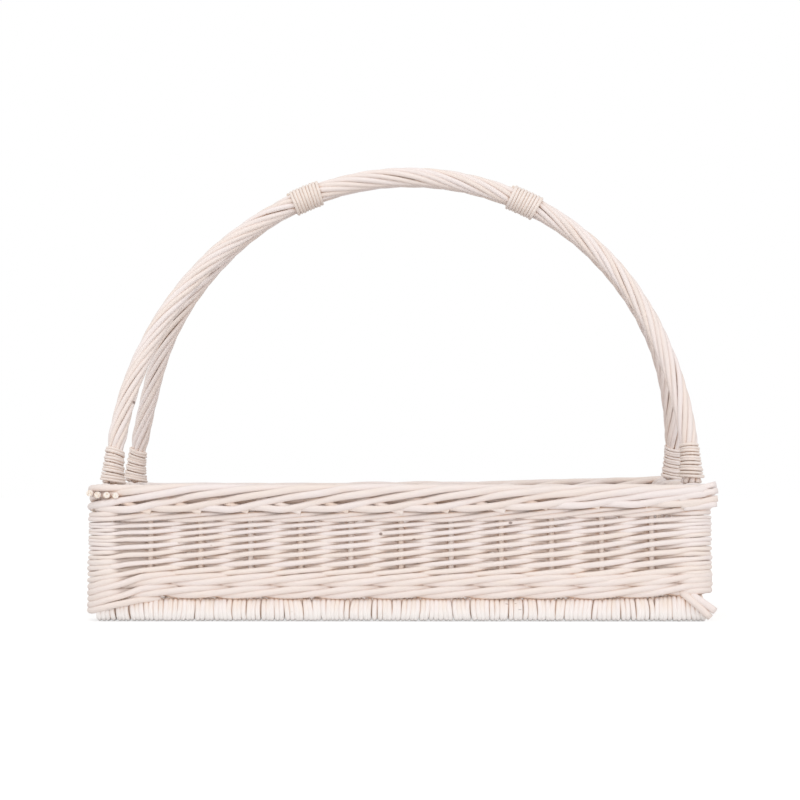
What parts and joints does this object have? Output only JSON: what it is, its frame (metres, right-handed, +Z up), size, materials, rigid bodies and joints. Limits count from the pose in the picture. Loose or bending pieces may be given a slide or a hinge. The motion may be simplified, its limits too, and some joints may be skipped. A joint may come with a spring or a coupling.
{
  "type": "serving basket",
  "caption": "Shallow oblong willow tray basket, whitewashed, with a twined wall between waling, a rolled border and a tall handle of two twisted bows bound together at the top.",
  "frame": {"origin": "middle of the footprint, on the surface that the basket stands on", "axes": "+X along the long wall to the viewer's right, +Y from the front wall to the back wall, +Z up to the handle"},
  "size_m": [0.518, 0.354, 0.3899],
  "materials": {
    "willow_weaver": "thin whitewashed willow rods, matt",
    "willow_wale": "thick whitewashed willow rods, matt",
    "willow_stake": "peeled willow with thin whitewash, matt",
    "willow_border": "whitewashed willow rods, matt",
    "willow_base": "whitewashed willow rods, matt",
    "willow_stick": "thick peeled willow, matt",
    "willow_handle": "twisted whitewashed willow, matt",
    "cane_binding": "split cane, satin under whitewash"
  },
  "bodies": {
    "root": {"pairing_row_1_rod_a": "willow_weaver", "pairing_row_1_rod_b": "willow_weaver", "pairing_row_2_rod_a": "willow_weaver", "pairing_row_2_rod_b": "willow_weaver", "pairing_row_3_rod_a": "willow_weaver", "pairing_row_3_rod_b": "willow_weaver", "pairing_row_4_rod_a": "willow_weaver", "pairing_row_4_rod_b": "willow_weaver", "pairing_row_5_rod_a": "willow_weaver", "pairing_row_5_rod_b": "willow_weaver", "pairing_row_6_rod_a": "willow_weaver", "pairing_row_6_rod_b": "willow_weaver", "pairing_row_7_rod_a": "willow_weaver", "pairing_row_7_rod_b": "willow_weaver", "lower_wale_1": "willow_wale", "lower_wale_2": "willow_wale", "upper_wale": "willow_wale", "corner_rod_front_left": "willow_wale", "corner_rod_front_right": "willow_wale", "corner_rod_back_left": "willow_wale", "corner_rod_back_right": "willow_wale", "stakes_front": "willow_stake", "stakes_right": "willow_stake", "stakes_back": "willow_stake", "stakes_left": "willow_stake", "border_strand_1": "willow_border", "border_strand_2": "willow_border", "border_strand_3": "willow_border", "border_strand_4": "willow_border", "border_strand_5": "willow_border", "border_strand_6": "willow_border", "border_strand_7": "willow_border", "border_strand_8": "willow_border", "base_weave": "willow_base", "base_front_edge_stick": "willow_stick", "base_back_edge_stick": "willow_stick", "base_inner_stick_1": "willow_stick", "base_inner_stick_2": "willow_stick", "base_inner_stick_3": "willow_stick", "base_inner_stick_4": "willow_stick", "bow_front_rod": "willow_stick", "bow_front_strands_1": "willow_handle", "bow_front_strands_2": "willow_handle", "bow_front_strands_3": "willow_handle", "bow_front_strands_4": "willow_handle", "bow_back_rod": "willow_stick", "bow_back_strands_1": "willow_handle", "bow_back_strands_2": "willow_handle", "bow_back_strands_3": "willow_handle", "bow_back_strands_4": "willow_handle", "leg_binding_front_left": "cane_binding", "leg_binding_front_right": "cane_binding", "leg_binding_back_left": "cane_binding", "leg_binding_back_right": "cane_binding", "grip_binding_left": "cane_binding", "grip_binding_right": "cane_binding"}
  },
  "joints": []
}
